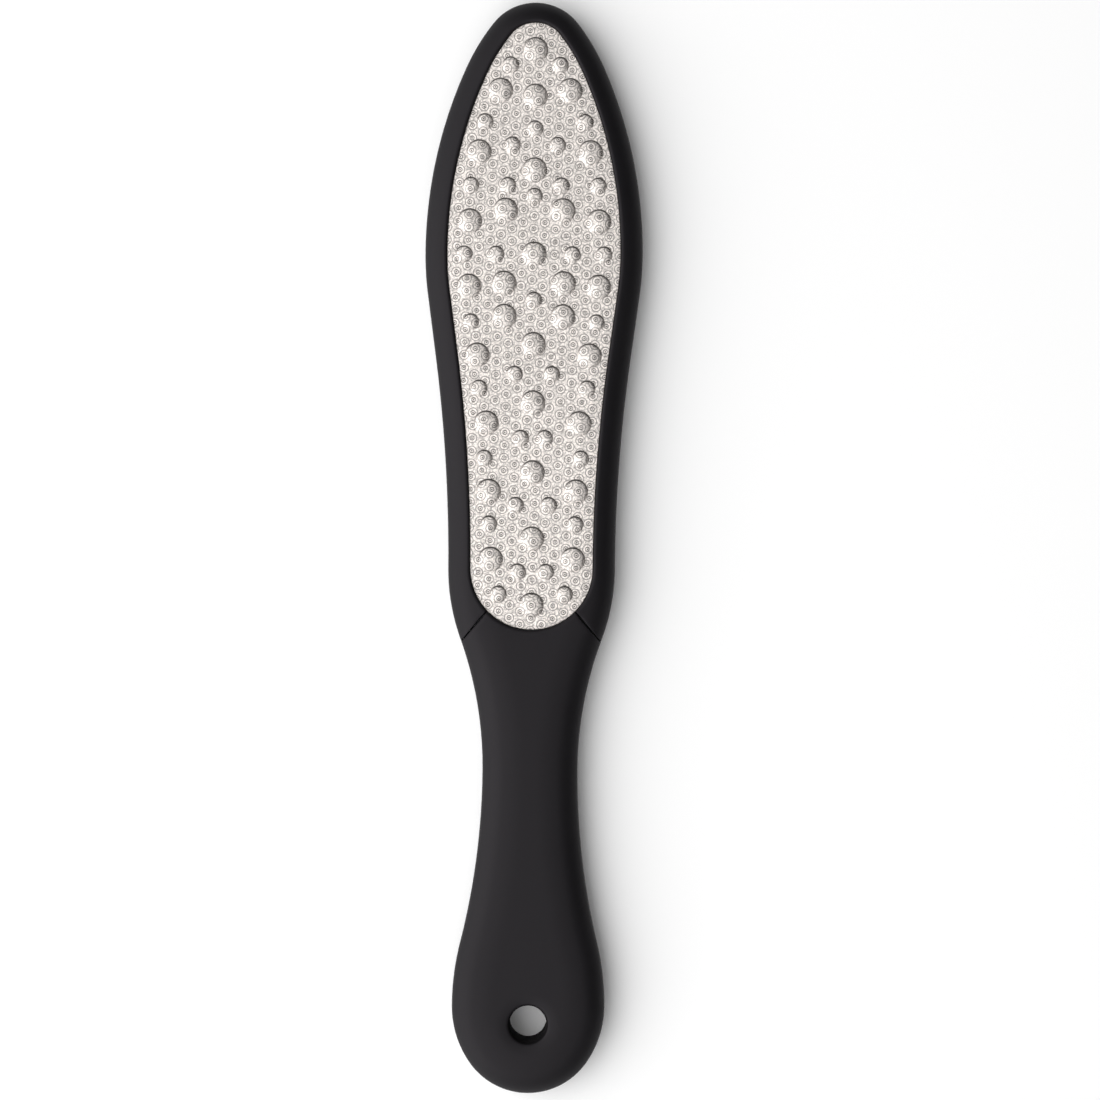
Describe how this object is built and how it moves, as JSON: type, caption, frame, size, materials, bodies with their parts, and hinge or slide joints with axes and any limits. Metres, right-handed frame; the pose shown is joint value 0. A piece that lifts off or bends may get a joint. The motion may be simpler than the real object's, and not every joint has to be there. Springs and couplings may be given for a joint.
{
  "type": "foot file",
  "caption": "Paddle-shaped foot file: a domed steel plate set in a black rim, a fine steel plate on the back, and a waisted black handle with a hanging hole.",
  "frame": {"origin": "centre of the file's length and width, at the height of the back's resting face", "axes": "+Y along the file from the handle to the tip of the head, +Z out of the domed front plate, +X to the right as seen from the front"},
  "size_m": [0.0518, 0.26, 0.0113],
  "materials": {
    "core_plastic": "as moulded",
    "bond_film": "matt adhesive film",
    "file_steel": "etched satin with fine rings",
    "black_shell": "soft satin black"
  },
  "bodies": {
    "root": {"spine": "core_plastic", "front_bond_sheet": "bond_film", "back_bond_sheet": "bond_film", "front_file_plate": "file_steel", "back_file_plate": "file_steel", "rim_front": "black_shell", "rim_back": "black_shell", "grip_front": "black_shell", "grip_back": "black_shell"}
  },
  "joints": []
}
